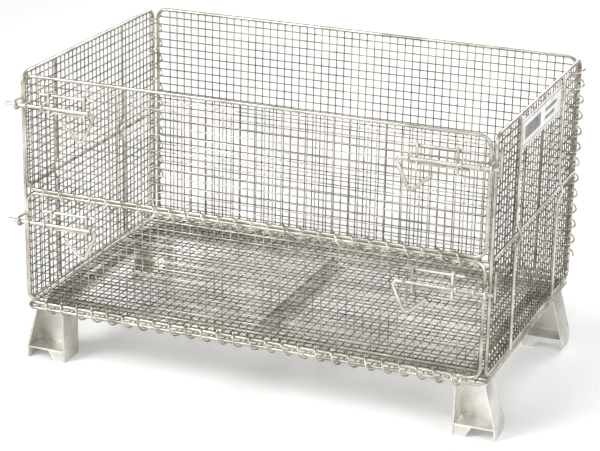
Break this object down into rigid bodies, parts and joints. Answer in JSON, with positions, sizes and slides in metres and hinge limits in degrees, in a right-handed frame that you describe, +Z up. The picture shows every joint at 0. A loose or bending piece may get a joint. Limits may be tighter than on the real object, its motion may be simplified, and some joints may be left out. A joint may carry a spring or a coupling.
{
  "type": "wire mesh container",
  "caption": "Collapsible wire mesh basket with a two-leaf drop gate, spiral coil hinges, slide bolts and sheet-steel stacking feet.",
  "frame": {"origin": "floor level, below the middle of the container's box", "axes": "+X along the length, +Y from the gate to the back, +Z up"},
  "size_m": [0.843, 0.5391, 0.5138],
  "materials": {
    "rim_wire": "zinc plated round wire",
    "mesh_wire": "zinc plated welded mesh",
    "sheet_zinc": "zinc plated folded sheet",
    "coil_wire": "bright zinc plated coil",
    "bar_wire": "zinc plated bar",
    "bolt_wire": "zinc plated rod, worn bright",
    "label_white": "white painted plate, blank"
  },
  "bodies": {
    "base": {"base_rim": "rim_wire", "base_mesh": "mesh_wire", "front_channel": "sheet_zinc", "rear_channel": "sheet_zinc", "left_channel": "sheet_zinc", "middle_channel": "sheet_zinc", "right_channel": "sheet_zinc", "foot_front_left": "sheet_zinc", "foot_front_right": "sheet_zinc", "foot_rear_left": "sheet_zinc", "foot_rear_right": "sheet_zinc"},
    "front_coil": {"front_coil": "coil_wire"},
    "rear_coil": {"rear_coil": "coil_wire"},
    "middle_coil": {"middle_coil": "coil_wire"},
    "left_corner_coil": {"left_corner_coil": "coil_wire"},
    "right_corner_coil": {"right_corner_coil": "coil_wire"},
    "back_panel": {"back_rim": "rim_wire", "back_mesh": "mesh_wire"},
    "left_end": {"left_end_rim": "rim_wire", "left_end_mesh": "mesh_wire", "left_end_ribs": "bar_wire", "left_end_rail": "bar_wire", "left_end_eyes": "bar_wire", "left_end_short_bars": "bar_wire"},
    "right_end": {"right_end_rim": "rim_wire", "right_end_mesh": "mesh_wire", "right_end_ribs": "bar_wire", "right_end_rail": "bar_wire", "right_end_eyes": "bar_wire", "right_end_short_bars": "bar_wire", "label_plate": "label_white"},
    "lower_gate": {"lower_gate_rim": "rim_wire", "lower_gate_mesh": "mesh_wire", "lower_left_latch_bars": "bar_wire", "lower_left_bolt_guides": "bar_wire", "lower_right_latch_bars": "bar_wire", "lower_right_bolt_guides": "bar_wire"},
    "lower_left_bolt": {"lower_left_bolt": "bolt_wire"},
    "lower_right_bolt": {"lower_right_bolt": "bolt_wire"},
    "upper_gate": {"upper_gate_rim": "rim_wire", "upper_gate_mesh": "mesh_wire", "upper_left_latch_bars": "bar_wire", "upper_left_bolt_guides": "bar_wire", "upper_right_latch_bars": "bar_wire", "upper_right_bolt_guides": "bar_wire"},
    "upper_left_bolt": {"upper_left_bolt": "bolt_wire"},
    "upper_right_bolt": {"upper_right_bolt": "bolt_wire"}
  },
  "joints": [
    {"name": "lower_gate_hinge", "type": "hinge", "parent": "base", "child": "lower_gate", "pos_m": [0, -0.247, 0.11], "axis": [1, 0, 0], "range_deg": [0, 90]},
    {"name": "front_coil_roll", "type": "hinge", "parent": "base", "child": "front_coil", "pos_m": [0, -0.247, 0.11], "axis": [1, 0, 0], "range_deg": [0, 45]},
    {"name": "upper_gate_hinge", "type": "hinge", "parent": "lower_gate", "child": "upper_gate", "pos_m": [0, -0.2503, 0.3129], "axis": [1, 0, 0], "range_deg": [0, 130]},
    {"name": "middle_coil_roll", "type": "hinge", "parent": "lower_gate", "child": "middle_coil", "pos_m": [0, -0.2503, 0.3129], "axis": [1, 0, 0], "range_deg": [0, 65]},
    {"name": "back_hinge", "type": "hinge", "parent": "base", "child": "back_panel", "pos_m": [0, 0.255, 0.11], "axis": [-1, 0, 0], "range_deg": [0, 90]},
    {"name": "rear_coil_roll", "type": "hinge", "parent": "base", "child": "rear_coil", "pos_m": [0, 0.255, 0.11], "axis": [-1, 0, 0], "range_deg": [0, 45]},
    {"name": "left_end_hinge", "type": "hinge", "parent": "back_panel", "child": "left_end", "pos_m": [-0.3995, 0.251, 0.3129], "axis": [0, 0, -1], "range_deg": [0, 75]},
    {"name": "left_corner_coil_roll", "type": "hinge", "parent": "back_panel", "child": "left_corner_coil", "pos_m": [-0.3995, 0.251, 0.3129], "axis": [0, 0, -1], "range_deg": [0, 37.5]},
    {"name": "right_end_hinge", "type": "hinge", "parent": "back_panel", "child": "right_end", "pos_m": [0.3995, 0.251, 0.3129], "axis": [0, 0, 1], "range_deg": [0, 75]},
    {"name": "right_corner_coil_roll", "type": "hinge", "parent": "back_panel", "child": "right_corner_coil", "pos_m": [0.3995, 0.251, 0.3129], "axis": [0, 0, 1], "range_deg": [0, 37.5]},
    {"name": "lower_left_bolt_slide", "type": "slide", "parent": "lower_gate", "child": "lower_left_bolt", "axis": [1, 0, 0], "range_m": [0, 0.032]},
    {"name": "lower_right_bolt_slide", "type": "slide", "parent": "lower_gate", "child": "lower_right_bolt", "axis": [-1, 0, 0], "range_m": [0, 0.022]},
    {"name": "upper_left_bolt_slide", "type": "slide", "parent": "upper_gate", "child": "upper_left_bolt", "axis": [1, 0, 0], "range_m": [0, 0.032]},
    {"name": "upper_right_bolt_slide", "type": "slide", "parent": "upper_gate", "child": "upper_right_bolt", "axis": [-1, 0, 0], "range_m": [0, 0.022]}
  ],
  "couplings": [
    {"joint": "front_coil_roll", "follows": "lower_gate_hinge", "ratio": 0.5},
    {"joint": "middle_coil_roll", "follows": "upper_gate_hinge", "ratio": 0.5},
    {"joint": "rear_coil_roll", "follows": "back_hinge", "ratio": 0.5},
    {"joint": "left_corner_coil_roll", "follows": "left_end_hinge", "ratio": 0.5},
    {"joint": "right_corner_coil_roll", "follows": "right_end_hinge", "ratio": 0.5}
  ]
}
